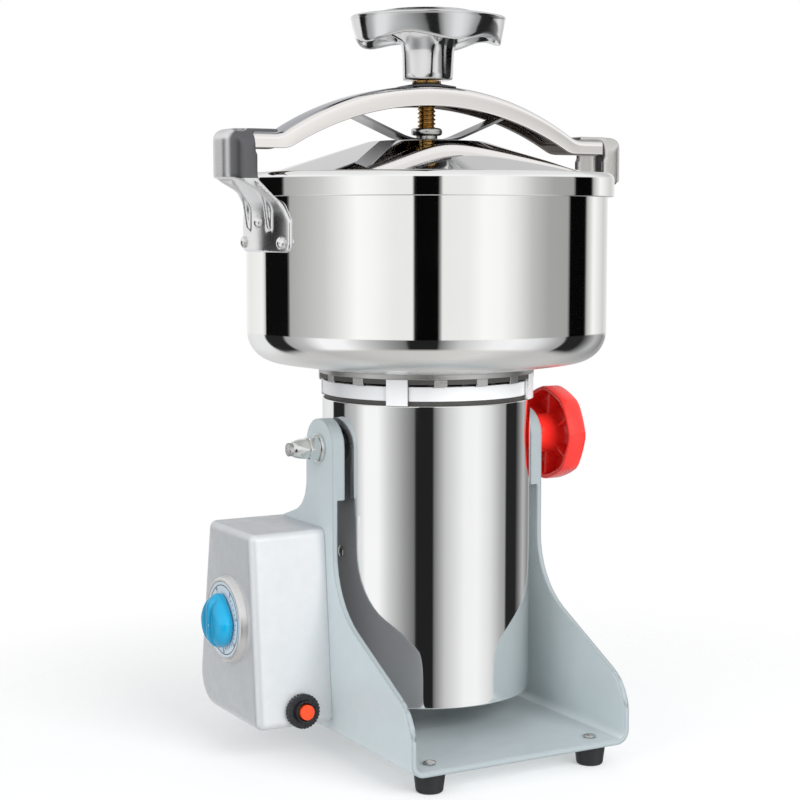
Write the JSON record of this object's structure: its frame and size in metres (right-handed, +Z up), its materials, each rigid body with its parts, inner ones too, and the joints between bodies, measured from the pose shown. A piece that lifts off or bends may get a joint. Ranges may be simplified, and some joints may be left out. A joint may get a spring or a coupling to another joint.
{
  "type": "electric grain mill",
  "caption": "Swing-type electric grain mill: polished bowl with clamped lid on a mirror motor housing that tilts in a pale U-shaped frame, side switch box with timer and overload button",
  "frame": {"origin": "Centre of the footprint on the floor, on the bowl's axis when the bowl stands upright", "axes": "+X runs along the swing axis towards the red lock knob, +Y from the front with the open frame towards the back, and +Z up through the hand wheel"},
  "size_m": [0.275, 0.2278, 0.4476],
  "materials": {
    "pale_paint": "satin",
    "silver_paint": "satin",
    "black_rubber": "matte",
    "bright_steel": "polished",
    "mirror_steel": "mirror",
    "brushed_steel": "brushed",
    "cast_aluminium": "cast",
    "ear_cast": "polished casting",
    "wheel_cast": "polished casting",
    "black_plastic": "matte",
    "inner_plastic": "matte",
    "dial_plastic": "gloss",
    "blue_plastic": "gloss",
    "red_plastic": "gloss",
    "button_red": "gloss",
    "brass": "machined",
    "carbon": "matte",
    "core_steel": "laminated",
    "copper_wire": "enamelled",
    "seal_silicone": "matte"
  },
  "bodies": {
    "frame": {"base_frame": "pale_paint", "rubber_feet": "black_rubber", "foot_screws": "bright_steel", "switch_box": "silver_paint", "box_screws": "bright_steel", "cable_inlet": "black_plastic", "timer_dial": "dial_plastic", "timer_body": "inner_plastic", "overload_body": "black_plastic", "overload_nut": "black_plastic"},
    "timer_knob": {"timer_shaft": "bright_steel", "timer_knob": "blue_plastic"},
    "reset_button": {"reset_button": "button_red"},
    "swing": {"motor_housing": "mirror_steel", "bottom_cover": "cast_aluminium", "cover_screws": "bright_steel", "lower_bracket": "cast_aluminium", "lower_bearing": "bright_steel", "brush_holders": "inner_plastic", "carbon_brushes": "carbon", "stator": "core_steel", "field_coils": "copper_wire", "pivot_bosses": "bright_steel", "pivot_bolt": "bright_steel", "pivot_nuts": "bright_steel", "lock_stud": "bright_steel", "neck_casting": "cast_aluminium", "upper_bearing": "bright_steel", "bowl": "mirror_steel", "bowl_screws": "bright_steel", "shaft_seal": "bright_steel", "left_ear": "ear_cast", "right_ear": "ear_cast", "ear_screws": "bright_steel", "clamp_beam": "mirror_steel", "beam_washer": "black_plastic", "threaded_bush": "brass"},
    "lock_washer": {"lock_washer": "bright_steel"},
    "lock_knob": {"lock_insert": "brass", "lock_knob": "red_plastic"},
    "rotor": {"motor_shaft": "bright_steel", "rotor_core": "core_steel", "commutator": "copper_wire", "cooling_fan": "black_plastic", "lower_blade": "brushed_steel", "middle_blade": "brushed_steel", "upper_blade": "brushed_steel", "blade_spacers": "brushed_steel", "blade_nut": "bright_steel"},
    "lid": {"lid": "mirror_steel", "lid_seal": "seal_silicone", "lid_hanger": "bright_steel"},
    "clamp_screw": {"clamp_screw": "brass", "screw_collar": "bright_steel", "screw_keeper": "bright_steel", "hand_wheel": "wheel_cast"}
  },
  "joints": [
    {"name": "tilt", "type": "hinge", "parent": "frame", "child": "swing", "pos_m": [0, 0, 0.186], "axis": [1, 0, 0], "range_deg": [-60, 95]},
    {"name": "rotor_spin", "type": "hinge", "parent": "swing", "child": "rotor", "pos_m": [0, 0, 0.2], "axis": [0, 0, 1], "continuous": true},
    {"name": "lid_lift", "type": "slide", "parent": "swing", "child": "lid", "axis": [0, 0, 1], "range_m": [0, 0.005]},
    {"name": "clamp_turn", "type": "hinge", "parent": "lid", "child": "clamp_screw", "pos_m": [0, 0, 0.4], "axis": [0, 0, 1], "range_deg": [0, 720]},
    {"name": "lock_travel", "type": "slide", "parent": "swing", "child": "lock_washer", "axis": [1, 0, 0], "range_m": [0, 0.0025]},
    {"name": "lock_turn", "type": "hinge", "parent": "lock_washer", "child": "lock_knob", "pos_m": [0.09, 0, 0.186], "axis": [1, 0, 0], "range_deg": [0, 720]},
    {"name": "timer_turn", "type": "hinge", "parent": "frame", "child": "timer_knob", "pos_m": [-0.125, 0.025, 0.082], "axis": [1, 0, 0], "range_deg": [0, 300]},
    {"name": "reset_press", "type": "slide", "parent": "frame", "child": "reset_button", "axis": [0, 0.9963, -0.0855], "range_m": [0, 0.0025], "stiffness_N_per_m": 800}
  ],
  "couplings": [
    {"joint": "clamp_turn", "follows": "lid_lift", "rad_per_m": 2513.3},
    {"joint": "lock_turn", "follows": "lock_travel", "rad_per_m": 5026.5}
  ]
}
